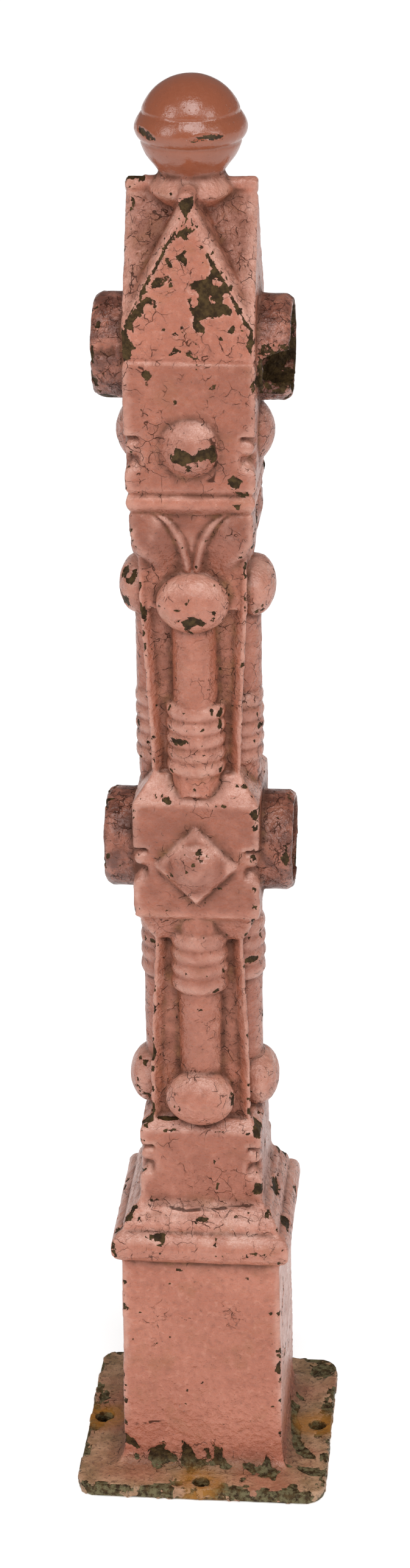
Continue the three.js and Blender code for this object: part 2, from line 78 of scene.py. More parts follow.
# Outlines of larger chips on the front, in x and z.
FRONT_OUTLINES = [
    [(-29.0, 886.3), (-26.1, 886.7), (-22.1, 885.8), (-18.7, 884.2), (-18.4, 882.5), (-21.8, 882.0), (-25.7, 883.2),
     (-28.5, 884.2)],
    [(2.6, 883.4), (6.0, 885.0), (11.4, 885.4), (16.0, 885.9), (20.5, 884.8), (19.9, 883.2), (14.7, 883.3),
     (9.7, 883.1), (4.6, 882.2)],
    [(0.3, 800.5), (3, 802.8), (6.9, 803.7), (10.9, 804.7), (13.5, 807.8), (12.7, 810.5), (14.4, 810.5),
     (11.9, 816.7), (11.1, 820.7), (12.4, 820.8), (15.3, 815), (19.6, 807.9), (23.8, 800.7), (29, 790.1),
     (33.3, 782), (35.9, 775.8), (34.1, 776.2), (32, 779.3), (30.7, 782.9), (28.1, 786.5), (26, 791.9),
     (24.3, 795.4), (21.7, 796.3), (20.3, 793.6), (20.7, 790), (24.2, 789.1), (25.5, 786.5), (25, 782.8),
     (20.2, 783.7), (15.8, 781.4), (11.4, 781.3), (7, 779.9), (6.6, 778.1), (9.6, 775.9), (8.7, 773.1), (6, 772.6),
     (3, 775.8), (2.6, 779.8), (3.6, 783.5), (1.9, 787), (0.2, 791.5), (2.8, 793.4), (2, 796), (0.3, 797.8)],
    [(-5.3, 832.5), (-2.6, 833.4), (-0.9, 834.8), (2.6, 834.6), (3, 832.6), (0.8, 828.2), (-1.9, 827.4),
     (-2.7, 829.9), (-4.9, 829), (-6.6, 827.2), (-6.2, 829.9)],
    [(-4.4, 848.4), (-4, 850.7), (-1.5, 851.9), (2, 852), (4.1, 850.3), (4.1, 846.7), (3, 844.5), (1.1, 843.1),
     (0.6, 840.1), (-1.3, 836.1), (-3.1, 834.5), (-2.5, 838.8), (-1.7, 842.2), (-4, 845.1)],
    [(-0.6, 821.9), (-1.1, 819.3), (0.1, 816.6), (-0.8, 812.1), (-3, 813.4), (-4.7, 815.6), (-6.8, 816.1),
     (-6.4, 817.9), (-3.7, 818.3)],
    [(-12.5, 816.9), (-9.4, 816), (-8.9, 812.7), (-11.2, 813.8)],
    [(-17.9, 805.6), (-10, 806.8), (-9.9, 803.1), (-11.4, 803.5), (-13.2, 801.2), (-15.9, 799.2), (-19.8, 799.3),
     (-21.1, 801.1), (-18.8, 803.8)],
    [(-26.1, 791.2), (-23.4, 793.9), (-20.3, 793), (-18, 792.2), (-17.2, 787.2), (-19.2, 786.8), (-20.4, 789.4),
     (-23.9, 788.9), (-24.9, 785.8), (-27.2, 781.2), (-29.8, 782.5), (-32.4, 780.7), (-28.8, 785.7)],
    [(-38.8, 768.9), (-36.1, 775.7), (-33.9, 774.3), (-34.8, 772.1), (-32.7, 770.3), (-32.3, 765.7),
     (-30.2, 763.5), (-32, 761.6), (-32.5, 759.3), (-34.2, 758.9), (-33, 755.9), (-38.3, 755.8), (-38.8, 757.7)],
    [(-37.6, 774.8), (-33.6, 782.0), (-28.4, 790.2), (-25.6, 788.6), (-27.8, 783.6), (-31.4, 779.0), (-33.2, 772.8)],
    [(23.2, 776), (26.3, 777.4), (27.3, 774.7), (25.8, 772.5), (23.1, 773.3)],
    [(17.8, 769.2), (20.5, 771), (20, 768.3)],
    [(32.8, 773), (35.9, 775.8), (37.6, 773.1), (37.5, 766.7), (36.8, 759.9), (34.4, 763.5), (32.7, 765.8),
     (34.1, 769.4)],
    [(-8.7, 771.7), (-6.7, 772.6), (-5, 771.1), (-6.3, 769.3), (-8, 769.9)],
    [(-7.7, 764), (-4.2, 760.9), (-9.1, 760.1), (-10.7, 759.2)],
    [(-1.6, 760.3), (1.5, 762.1), (4.1, 760.8), (5, 758.1), (6.7, 756.3), (2.3, 757.1), (-0.8, 759.1)],
    [(-27.4, 747.6), (-24.7, 750.4), (-22.1, 749.5), (-21.2, 746.3), (-23.9, 744), (-27, 745.8)],
    [(-25.3, 743), (-23.1, 742.2), (-24, 740.6)],
    [(-10.9, 699.8), (-7.6, 704.6), (-5.7, 704.6), (-2.6, 704.2), (0.5, 702.9), (2.3, 701.5), (4.5, 701.4),
     (4.9, 704.6), (7.5, 705.7), (10.9, 704.4), (13.4, 706.1), (14.7, 705.4), (16.6, 700.1), (15.2, 694.9),
     (12.3, 694.1), (11.6, 697.6), (9.1, 699.1), (6.1, 698.4), (3.4, 696.5), (0.3, 696), (-4.7, 694.7),
     (-6.8, 696.5), (-9.6, 697)],
    [(22.6, 684.5), (25.3, 686.9), (27.1, 685.5), (29.7, 683.7), (28.3, 678.9), (24.3, 678.9), (22.6, 681.7)],
    [(26.5, 677), (34.1, 676.6), (34.3, 673.5), (27.6, 673.4)],
    [(24.6, 668.9), (29.6, 669), (28.5, 664.4), (26.8, 664.4)],
    [(-5.8, 596.4), (-2, 600.1), (1.7, 600.9), (6.1, 600.1), (9, 596.4), (8.4, 593.5), (4.1, 595.6), (0.4, 593.9),
     (-1.5, 592.6), (0.2, 586.6), (-3.4, 588.5), (-3.7, 593.6)],
    [(-9.5, 597), (-5.7, 598.7), (-6.7, 596.3), (-9.1, 595.9)],
    [(-10.1, 604.4), (-6, 604.8), (-6.9, 603.3)],
    [(-3.2, 610.1), (-0.5, 612.5), (-2.3, 608.3)],
    [(10.4, 597.9), (14, 600.1), (13.8, 596.7)],
    [(13.2, 603.9), (15.4, 603.5), (14, 602.2)],
    [(33.2, 470.5), (35.6, 473.1), (38.4, 473.7), (38.3, 468.6), (36.9, 466), (33.7, 468)],
    [(34.6, 460.9), (37.8, 465.6), (37.8, 459.5), (35.5, 459.4)],
]
# Paint left standing inside the large gable chip, in x and z.
ISLAND_OUTLINES = [
    [(2.4, 796), (5.5, 797.2), (6.8, 795.2), (5.5, 792.9), (7.6, 790.7), (4.5, 788.4), (1.9, 789.7), (2.8, 792.5)],
    [(14.8, 803.4), (17.4, 805.2), (20, 802.6), (18.6, 799.8), (15.6, 799.8)],
    [(13.3, 794.4), (15.1, 793.5), (15.9, 790.1), (14.4, 790.4)],
]
# Chips where the plinth runs out to the plate: x, and y plus z, which falls all the way down and out.
FOOT_OUTLINES = [
    [(-35, -32.5), (-29.4, -30.4), (-26.4, -26.1), (-24.4, -28.4), (-25.5, -32), (-19.5, -35.4), (-16.4, -37.8),
     (-15.8, -43.2), (-21.3, -43.5), (-26.1, -46.8), (-27.3, -50.3), (-31.8, -51.1), (-33.7, -44.2),
     (-36.4, -40.2)],
    [(-12.8, -23.4), (-11.4, -26.6), (-7.9, -29.4), (-7.5, -33.6), (-5, -36), (-4.4, -39.1), (0.5, -38.8),
     (5.7, -44.8), (0.8, -45), (-3, -48.4), (-6.5, -54.4), (-9.6, -52.9), (-11.1, -47.4), (-14, -47.6),
     (-15.4, -40.4), (-13.5, -33.9)],
    [(0, -31.4), (3.5, -30.6), (4.3, -38), (2, -38.8), (1.7, -33.7)],
    [(5.6, -25.8), (7.5, -29.2), (12.5, -29.6), (13, -38.2), (15, -39.4), (15.6, -42.8), (19.7, -45.4),
     (16.9, -48.7), (11.9, -47.5), (10.7, -44.5), (4.7, -44.8), (4.1, -42.1), (6.5, -37.9), (6, -30.5)],
    [(25.6, -42), (29.1, -42), (34, -39.7), (35.1, -44.5), (38.6, -43.6), (39.9, -36.2), (40.9, -33),
     (43.4, -33.5), (43.9, -39.8), (45.6, -45.3), (51.2, -48.1), (48.9, -50.6), (47.9, -58.3), (46, -58.4),
     (43.3, -55.2), (39.3, -55.5), (36.5, -50.6), (33.2, -53.3), (29.9, -49.4), (25.7, -45.8)],
    [(24.9, -55.6), (29.8, -54.4), (27.7, -59.7), (26, -62.4)],
    [(-45, -37.4), (-42.5, -37.3), (-41.5, -41.9), (-44.8, -42.1)],
    [(-51, -19), (-48.8, -22.5), (-44.4, -27), (-40.5, -32.7), (-43.5, -32.9), (-47.4, -29.5), (-51.2, -27.5)],
    [(52.7, -36.1), (55.2, -39.6), (58.3, -42.3), (54.5, -43.4)],
]
# Chips on the top of the plate, in x and y.
PLATE_OUTLINES = [
    [(52.2, 21.8), (59.4, 20), (57.8, 13.7), (57.4, 4.4), (61.1, -4.8), (60.8, -15.6), (64.4, -24.2),
     (71.1, -34.4), (72.5, -40.4), (65.5, -40.9), (60.1, -35.3), (57.7, -29.4), (55.9, -17.9), (54, -4.8),
     (53, 9.7)],
    [(54.2, 35.9), (62, 28), (60, 26.7), (55.2, 30.1)],
    [(60.1, -50.1), (76, -49.7), (76.7, -60.1), (70.8, -60.5), (63.5, -55.8)],
]
# Edge of lifted paint low on the plinth, in x and z.
LIFTED = [(-46.1, 37.3), (-39.1, 38.8), (-31.1, 40.9), (-23.1, 40.7), (-17.2, 36.9), (-11.3, 31.9)]
# Chips elsewhere: middle x, y and z, and reach along each.
OTHER_CHIPS = [
    (-54.3, -25.5, 771.0, 2.0, 3.0, 3.0), (-57.0, -28.0, 755.0, 1.6, 5.0, 6.0), (-52.0, -15.0, 726.0, 7.0, 9.0, 4.0),
    (37.0, -30.0, 641.0, 2.5, 4.0, 3.0), (-43.0, -10.4, 615.6, 3.0, 4.0, 4.0), (-37.6, -17.4, 614.5, 2.4, 4.0, 5.0),
    (-29.2, -31.0, 595.8, 2.6, 4.0, 4.7), (54.4, -30.5, 440.3, 3.0, 4.0, 5.8), (45.0, -4.0, 193.0, 4.0, 9.0, 4.0),
    (70.9, 66.0, 9.0, 8.3, 10.6, 4.0),
    (50.7, -21.0, 126.7, 3.0, 2.0, 6.0), (50.8, -34.0, 114.3, 3.0, 2.0, 5.5),
]
# Bare line along the left rake of the front gable, in x and z.
RAKE_LINE = [(-5.5, 834.0), (-38.0, 775.0)]
# Open cracks on the front, in x and z.
OPEN_CRACKS = [
    [(11.6, 712.2), (15.1, 707.4), (16.1, 698.8), (14.5, 689.0), (12.8, 682.4)],
    [(-22.4, 195.6), (-3.7, 194.9), (15.6, 196.2), (33.0, 198.8)],
]
# Height of the seam at the foot of the gables.
SEAM_Z = 755.0
# Patches of crazed paint on the front of the plinth: middle x and z, half width and half height.
FLECKS = [(-27, 122, 13, 15), (20, 118, 7, 12)]
# Heights between which the paint is browner, and by how much.
WEATHER = [(200, 252, 0.45), (290, 400, 0.4), (404, 474, 0.75), (492, 590, 0.25), (626, 664, 1.0), (674, 752, 0.5)]
# Heights over which a zone of the post begins, and over which it ends.
PLINTH_ZONE, PLINTH_SIDE_ZONE, STEPS_ZONE = ((20, 40), (166, 158)), ((40, 60), (168, 160)), ((182, 184), (202, 198))
SHAFT_SIDE_ZONE, HEAD_ZONE = ((250, 260), (400, 390)), ((668, 676), (850, 840))
RAKE_ZONE, ROOF_ZONE = ((765, 772), (850, 844)), ((765, 785), (852, 840))
# Colours of paint, dirt and iron, each from 0 to 255.
COLOURS = {
    "salmon": (168, 99, 76), "pale_salmon": (179, 110, 87), "brown": (144, 80, 58), "shaded_low_spot": (138, 78, 58),
    "lit_high_spot": (200, 138, 116), "stain": (150, 92, 58), "fleck": (198, 138, 116), "weathered": (130, 70, 49),
    "painted_light_tone": (208, 160, 143), "ball": (138, 74, 47), "tube": (90, 47, 33), "pit": (92, 52, 38),
    "soil": (138, 109, 76), "pale_soil": (180, 142, 110), "dark_soil": (84, 68, 48), "shade_and_filth": (80, 48, 34),
    "yellow_shade_and_filth": (108, 74, 44), "thin_crack": (96, 54, 40), "crack": (54, 30, 20), "iron": (46, 32, 18),
    "pale_iron": (80, 62, 36), "plate_iron": (108, 100, 72), "rust": (158, 106, 44),
}


def lattice(i, j, k, seed):
    """Repeatable value from 0 to 1 for each whole-number point."""
    h = i * 73856093 ^ j * 19349663 ^ k * 83492791 ^ (seed * 961748927)
    h = (h ^ (h >> 13)) * 1274126177
    return ((h ^ (h >> 16)) & 0xFFFF) / 65535.0


def noise(p, period, seed):
    """Smooth noise from -1 to 1 with the given period."""
    q = p / period
    base = np.floor(q).astype(np.int64)
    t = q - base
    t = t * t * (3 - 2 * t)
    total = np.zeros(len(p))
    for corner in range(8):
        c = np.array([(corner >> b) & 1 for b in range(3)])
        weight = np.prod(np.where(c, t, 1 - t), axis=1)
        total += weight * lattice(*(base + c).T, seed)
    return total * 2 - 1


def fbm(p, period, octaves, seed):
    """Noise of several sizes, each half the size and half the height of the one before."""
    return sum(0.5 ** k * noise(p, period / 2 ** k, seed + k) for k in range(octaves))


def smooth(lo, hi, x):
    """Eased step from 0 at lo to 1 at hi, which may be the lower of the two."""
    t = np.clip((x - lo) / (hi - lo), 0, 1)
    return t * t * (3 - 2 * t)


def within(zone, z):
    """1 in a zone of heights, easing to 0 at its ends."""
    start, end = zone
    return smooth(*start, z) * smooth(*end, z)


def turn(p, quarter):
    """Points turned about Z by quarter turns."""
    c, s = ((1, 0), (0, 1), (-1, 0), (0, -1))[quarter % 4]
    return np.column_stack([p[:, 0] * c - p[:, 1] * s, p[:, 0] * s + p[:, 1] * c, p[:, 2]])


def turned(profile, sides=64):
    """A profile of radius and height pairs turned about Z, closed at both ends on the axis."""
    verts, faces, rows = [], [], []
    for r, z in profile:
        n = sides if r > 1e-6 else 1
        rows.append(range(len(verts), len(verts) + n))
        for i in range(n):
            a = 2 * math.pi * i / sides
            verts.append((r * math.cos(a), r * math.sin(a), z))
    for low, high in zip(rows, rows[1:]):
        for i in range(sides):
            j = (i + 1) % sides
            loop = [low[i % len(low)], low[j % len(low)], high[j % len(high)], high[i % len(high)]]
            loop = list(dict.fromkeys(loop))
            if len(loop) > 2:
                faces.append(loop)
    return np.array(verts), faces


def arc(a, b, steps):
    return [a + (b - a) * i / steps for i in range(steps + 1)]


def round_forms():
    """Fine round forms that lie over the faceted ones of the solid."""
    def on_ball(t):
        return BALL_R * math.cos(t), BALL_Z + BALL_R * math.sin(t)

    low = [on_ball(t) for t in arc(-0.83, -0.22, 8)]
    high = [on_ball(t) for t in arc(math.asin(9.8 / BALL_R), math.pi / 2, 16)]
    yield turned(COLLAR + low + BAND + high[:-1] + [(0, BALL_Z + BALL_R)], 96)
    rx, ry, rz = BOSS_RADII
    rows = [(math.cos(t), math.sin(t)) for t in arc(-0.9, math.pi / 2, 20)]
    boss, boss_faces = turned([(0, rows[0][1])] + rows[:-1] + [(0, 1)])
    for z in BOSS_LEVELS:
        placed = np.column_stack([boss[:, 0] * rx, -(BOSS_DEPTH + boss[:, 2] * ry), z + boss[:, 1] * rz])
        for k in range(4):
            yield turn(placed, k), boss_faces
    for z, r, height, seat, faces in DOMES:
        radius = (r * r + height * height) / (2 * height)
        span = math.asin(r / radius)
        rows = [(radius * math.sin(t), radius * (math.cos(t) - 1) + height) for t in arc(span, 0, 12)]
        dome, dome_faces = turned([(0, -2), (r, -2)] + rows[:-1] + [(0, height)])
        placed = np.column_stack([dome[:, 0], -(seat + dome[:, 2]), z + dome[:, 1]])
        for k in faces:
            yield turn(placed, k), dome_faces
    for rings in (UPPER_RINGS, LOWER_RINGS):
        reach = RING_REACH - rings["axis"]
        profile = [(0, rings["foot"])]
        for i in range(rings["count"]):
            middle = rings["foot"] + rings["pitch"] * (i + 0.5)
            for t in arc(-math.pi / 2, math.pi / 2, 10)[1 if i else 0:]:
                profile.append((reach - RING_GROOVE * (1 - math.cos(t)), middle + rings["pitch"] / 2 * math.sin(t)))
        profile.append((0, rings["foot"] + rings["pitch"] * rings["count"]))
        stack, stack_faces = turned(profile)
        stack[:, 0] *= RING_HALF_WIDTH / reach
        column, column_faces = turned([(0, rings["column"][0]), (COLUMN_R, rings["column"][0]),
                                       (COLUMN_R, rings["column"][1]), (0, rings["column"][1])])
        for points, loops in ((stack, stack_faces), (column, column_faces)):
            for k in range(4):
                yield turn(points - (0, rings["axis"], 0), k), loops
    half = [(RIDGE_R * math.cos(t), RIDGE_END + 1.4 * math.sin(t)) for t in arc(0, math.pi / 2, 6)]
    roll, roll_faces = turned([(0, -h) if r < 1e-6 else (r, -h) for r, h in reversed(half)] + half, 48)
    for k in range(2):
        yield turn(np.column_stack([roll[:, 0], roll[:, 2], RIDGE_Z + roll[:, 1]]), k), roll_faces


def casting_form():
    """The solid and the round forms as one closed skin of even small faces."""
    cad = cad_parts["newel_post"].data
    verts = [np.array([v.co for v in cad.vertices]) / MM]
    faces = [list(p.vertices) for p in cad.polygons]
    count = len(verts[0])
    for points, loops in round_forms():
        faces += [[i + count for i in loop] for loop in loops]
        verts.append(points)
        count += len(points)
    mesh = bpy.data.meshes.new("casting_form")
    mesh.from_pydata(np.vstack(verts) * MM, [], faces)
    form = bpy.data.objects.new("casting_form", mesh)
    bpy.context.scene.collection.objects.link(form)
    remesh = form.modifiers.new("skin", "REMESH")
    remesh.mode = "VOXEL"
    remesh.voxel_size = VOXEL * MM
    skin = bpy.data.meshes.new_from_object(form.evaluated_get(bpy.context.evaluated_depsgraph_get()))
    bpy.data.objects.remove(form)
    bpy.data.meshes.remove(mesh)
    return skin


def get_points(mesh):
    co = np.empty(len(mesh.vertices) * 3, np.float32)
    mesh.vertices.foreach_get("co", co)
    return co.reshape(-1, 3).astype(float) / MM


def set_points(mesh, co):
    mesh.vertices.foreach_set("co", (co * MM).astype(np.float32).ravel())
    mesh.update()


def get_normals(mesh):
    n = np.empty(len(mesh.vertices) * 3, np.float32)
    mesh.vertex_normals.foreach_get("vector", n)
    return n.reshape(-1, 3).astype(float)


def relaxed(co, edges, rounds, strength=0.5):
    """Points moved towards the mean of their neighbours; strength is a number or one per point."""
    a, b = edges[:, 0], edges[:, 1]
    n = len(co)
    count = np.bincount(a, minlength=n) + np.bincount(b, minlength=n)
    weight = np.broadcast_to(strength, n)[:, None]
    for _ in range(rounds):
        mean = np.column_stack([np.bincount(a, co[b, k], n) + np.bincount(b, co[a, k], n) for k in range(3)])
        co = co + weight * (mean / count[:, None] - co)
    return co


def true_sockets(co):
    """Socket walls brought to true rounds, outside and in."""
    for z in SOCKET_LEVELS:
        x = np.abs(co[:, 0])
        r = np.hypot(co[:, 1], co[:, 2] - z)
        for wall, start, end in ((SOCKET_R, 39.5, 54.4), (SOCKET_BORE_R, 39.4, 57.5)):
            pick = (x > start) & (x < end) & (np.abs(r - wall) < 0.6)
            scale = wall / r[pick]
            co[pick, 1] *= scale
            co[pick, 2] = z + (co[pick, 2] - z) * scale
    return co


def leaf_lines(z):
    """Half widths of the two curves that bound the ribs of the leaf capital at a height."""
    outer = np.interp(z, [624, 628.4, 635.6, 641, 648.4, 655.6, 660.5], [4.8, 5.6, 7.2, 9.4, 12.4, 16.4, 22.4])
    inner = np.interp(z, [628, 632, 641, 647.3, 653.8, 659.3, 661], [0.0, 0.5, 2.0, 4.1, 9.0, 15.6, 17.5])
    return outer, inner


def carve_capital(co, normal, edges):
    """Ribs and centre leaf between the lobes of the capital, on each face."""
    ease = np.zeros(len(co))
    for k in range(4):
        p, n = turn(co, -k), turn(normal, -k)
        side, z = np.abs(p[:, 0]), p[:, 2]
        outer, inner = leaf_lines(z)
        clear = (side / BOSS_RADII[0]) ** 2 + ((z - BOSS_LEVELS[1]) / BOSS_RADII[2]) ** 2 > 1.06
        face = (n[:, 1] < -0.25) & (-p[:, 1] > 27) & clear & (z > 622) & (z < 661.2)
        ease = np.maximum(ease, np.where(face & (side >= outer) & (side < 34), 1.0, 0.0))
        base = np.interp(z, [622, 632, 646, 661], [31.4, 32.6, 33.4, 33.6])
        across = np.clip((side - inner) / np.maximum(outer - inner, 0.1), 0, 1)
        rib = 2.3 * np.sin(np.pi * across) ** 0.8
        leaf = 1.5 * np.sqrt(np.clip(1 - (side / np.maximum(inner, 0.1)) ** 2, 0, 1)) * smooth(630, 640, z)
        depth = base + np.where(side < inner, leaf, rib)
        weight = smooth(0.9, -0.6, side - outer) * face
        p[:, 1] = p[:, 1] + weight * (-depth - p[:, 1])
        co = turn(p, k)
    return relaxed(co, edges, 10, 0.45 * ease)


def outline_distance(x, z, points):
    """Signed distance to a closed outline, less than 0 inside it."""
    best, inside = np.full(len(x), FAR), np.zeros(len(x), bool)
    for (x0, z0), (x1, z1) in zip(points, points[1:] + points[:1]):
        best = np.minimum(best, line_distance(x, z, [(x0, z0), (x1, z1)]))
        if z0 != z1:
            inside ^= ((z0 > z) != (z1 > z)) & (x < (x1 - x0) * (z - z0) / (z1 - z0) + x0)
    return np.where(inside, -best, best)


def line_distance(x, z, points):
    """Distance to an open line of points."""
    best = np.full(len(x), FAR)
    for (x0, z0), (x1, z1) in zip(points, points[1:]):
        along = ((x - x0) * (x1 - x0) + (z - z0) * (z1 - z0)) / ((x1 - x0) ** 2 + (z1 - z0) ** 2)
        along = np.clip(along, 0, 1)
        best = np.minimum(best, np.hypot(x - x0 - along * (x1 - x0), z - z0 - along * (z1 - z0)))
    return best


def chip_distance(p):
    """Signed distance in millimetres to the nearest chip, less than 0 inside it."""
    warp = np.column_stack([noise(p, 6.5, 11 + k) * 2.0 + noise(p, 2.8, 21 + k) * 1.1 for k in range(3)])
    best = np.full(len(p), FAR)

    def keep(pick, distance):
        best[pick] = np.minimum(best[pick], distance)

    q = p + warp
    pick = p[:, 1] < FRONT_Y
    for x, z, rx, rz in FRONT_CHIPS:
        keep(pick, (np.hypot((q[pick, 0] - x) / rx, (q[pick, 2] - z) / rz) - 1) * min(rx, rz))
    everywhere = np.ones(len(p), bool)
    for x, y, z, rx, ry, rz in OTHER_CHIPS:
        keep(everywhere, (np.linalg.norm((q - (x, y, z)) / (rx, ry, rz), axis=1) - 1) * min(rx, ry, rz))
    best += 1.1 * fbm(p, 4.2, 2, 31)
    q = p + 0.3 * warp
    pick = pick | ((p[:, 2] > 860) & (p[:, 1] < -8))
    for points in FRONT_OUTLINES:
        low, high = min(z for _, z in points) - 6, max(z for _, z in points) + 6
        near = pick & (p[:, 2] > low) & (p[:, 2] < high)
        keep(near, outline_distance(q[near, 0], q[near, 2], points))
    near = (p[:, 1] < GABLE_Y) & (p[:, 2] > 765) & (p[:, 2] < 845)
    keep(near, line_distance(q[near, 0], q[near, 2], RAKE_LINE) - 0.7)
    for points in ISLAND_OUTLINES:
        best[near] = np.maximum(best[near], -outline_distance(q[near, 0], q[near, 2], points))
    # Specks round the chips of the gable, fewer with distance.
    keep(near, (0.6 + 0.035 * np.clip(best[near], 0, 20) - fbm(p[near], 4.5, 3, 101)) * 3)
    near = (p[:, 1] < PLINTH_Y) & (p[:, 2] < 45)
    for points in FOOT_OUTLINES:
        keep(near, outline_distance(q[near, 0], q[near, 1] + q[near, 2], points))
    near = (p[:, 0] > 46) & (p[:, 2] < 18) & (p[:, 2] > 4)
    for points in PLATE_OUTLINES:
        keep(near, outline_distance(q[near, 0], q[near, 1], points))
    # Wear along the edge of the plate, most on the front.
    reach = np.abs(p[:, :2]).max(1)
    near = (reach > 75) & (p[:, 2] < 11)
    edge = np.where(p[near, 1] < -74, -0.3, -0.1) + 0.5 * smooth(79.6, 77, reach[near])
    keep(near, (edge - fbm(p[near], 7, 4, 91)) * 4)
    return best


def scattered_chips(p, normal, convex):
    """Signed distance to chips with no set place: on the edges, the foot and the sides away from the front."""
    z = p[:, 2]
    front = smooth(0.35, 0.75, -normal[:, 1]) * smooth(9.5, 14, z)
    limit = 0.80 - 0.02 * smooth(26, 12, z) * smooth(45, 56, np.abs(p[:, :2]).max(1))
    edge = smooth(0.25, 0.8, convex)
    limit = limit + 0.5 * front * (1 - 0.65 * edge) - 0.24 * edge + 0.6 * smooth(855, 870, z)
    # Fewer on the middle of the upper front boss, where the chips have set places.
    limit = limit + 0.6 * (z > 590) * (z < 645) * (p[:, 1] < -28) * (np.abs(p[:, 0]) < 14)
    # Fine specks, mostly on the edges.
    specks = 1.1 - 0.47 * edge + 0.6 * smooth(855, 870, z) - fbm(p, 5, 3, 103)
    return np.minimum((limit - fbm(p, 15, 4, 41)) * 7.0, specks * 3)


def in_break(p):
    """How near a point is to the broken wall of the upper right socket, from 0 to 1."""
    z = p[:, 2] - SOCKET_LEVELS[1]
    r = np.hypot(p[:, 1], z)
    deg = np.degrees(np.arctan2(-z, -p[:, 1]))
    near = smooth(BREAK_DEG[0] - 9, BREAK_DEG[0] - 3, deg) * smooth(BREAK_DEG[1] + 9, BREAK_DEG[1] + 3, deg)
    return near * (p[:, 0] > 39.5) * smooth(23.5, 24.5, r) * smooth(33.5, 32, r)


def set_mask(mesh, name, values):
    layer = mesh.attributes.new(name, "FLOAT", "POINT")
    layer.data.foreach_set("value", np.asarray(values, np.float32))


def build_casting():
    """The casting with its relief of paint, chips and breaks, as one mesh of the wanted number of triangles."""
    skin = casting_form()
    edges = np.empty(len(skin.edges) * 2, np.int32)
    skin.edges.foreach_get("vertices", edges)
    edges = edges.reshape(-1, 2)
    co = true_sockets(relaxed(get_points(skin), edges, 2))
    set_points(skin, co)
    co = carve_capital(co, get_normals(skin), edges)
    co = relaxed(co, edges, 2)
    # Thick paint rounds off the notches at the corners of the blocks.
    inset = np.abs(co[:, :2]).min(1)
    clogged = sum(smooth(z - 17, z - 12, co[:, 2]) * smooth(z + 8, z + 5.5, co[:, 2]) for z in BEAD_LEVELS)
    co = relaxed(co, edges, 16, 0.5 * clogged * smooth(25, 27.5, inset))
    set_points(skin, co)
    normal = get_normals(skin)
    # Hollows and edges, from how far strong smoothing would move each point along its normal.
    near = ((relaxed(co, edges, 12) - co) * normal).sum(1)
    wide = ((relaxed(co, edges, 70) - co) * normal).sum(1)
    hollow = np.clip(near * 1.6 + wide * 0.55, -1.5, 1.5)
    chips = np.minimum(chip_distance(co), scattered_chips(co, normal, -hollow))
    paint = smooth(-0.35, 0.35, chips)
    lift = 0.22 * np.exp(-((chips - 0.9) / 0.8) ** 2)
    lumps = 0.18 * fbm(co, 26, 2, 3) + 0.15 * fbm(co, 6, 2, 7)
    broken = in_break(co)
    ball = co[:, 2] > 868
    groove = sum(np.exp(-((co[:, 2] - z) / 0.9) ** 2) for z in BALL_GROOVES) * ball
    reach = np.abs(co[:, :2]).max(1)
    on_face = smooth(35.5, 36.8, reach) * (reach < 40)
    seam = np.exp(-((co[:, 2] + 0.5 * noise(co, 14, 57) - SEAM_Z) / 1.3) ** 2) * on_face
    from_edge = line_distance(co[:, 0], co[:, 2], LIFTED)
    lifted = np.exp(-((from_edge - 0.6) / 1.3) ** 2) * (co[:, 1] < PLINTH_Y)
    move = -SEAM_DEPTH * seam + LIFT_HEIGHT * lifted + lumps * (1 - 0.6 * ball) - GROOVE_DEPTH * groove + lift
    move = move + PAINT_THICKNESS * (paint - 1) + broken * (0.9 * fbm(co, 4.5, 3, 17) - 0.2)
    co = co + normal * move[:, None]
    co[:, 2] = np.maximum(co[:, 2], 0.0)
    set_points(skin, co)
    set_mask(skin, "hollow", hollow)
    casting = bpy.data.objects.new("newel_post_casting", skin)
    bpy.context.scene.collection.objects.link(casting)
    reduce = casting.modifiers.new("reduce", "DECIMATE")
    reduce.ratio = TRIANGLES / sum(len(p.vertices) - 2 for p in skin.polygons)
    final = bpy.data.meshes.new_from_object(casting.evaluated_get(bpy.context.evaluated_depsgraph_get()))
    casting.modifiers.clear()
    casting.data = final
    bpy.data.meshes.remove(skin)
    final.name = "newel_post_casting"
    final.shade_smooth()
    return casting


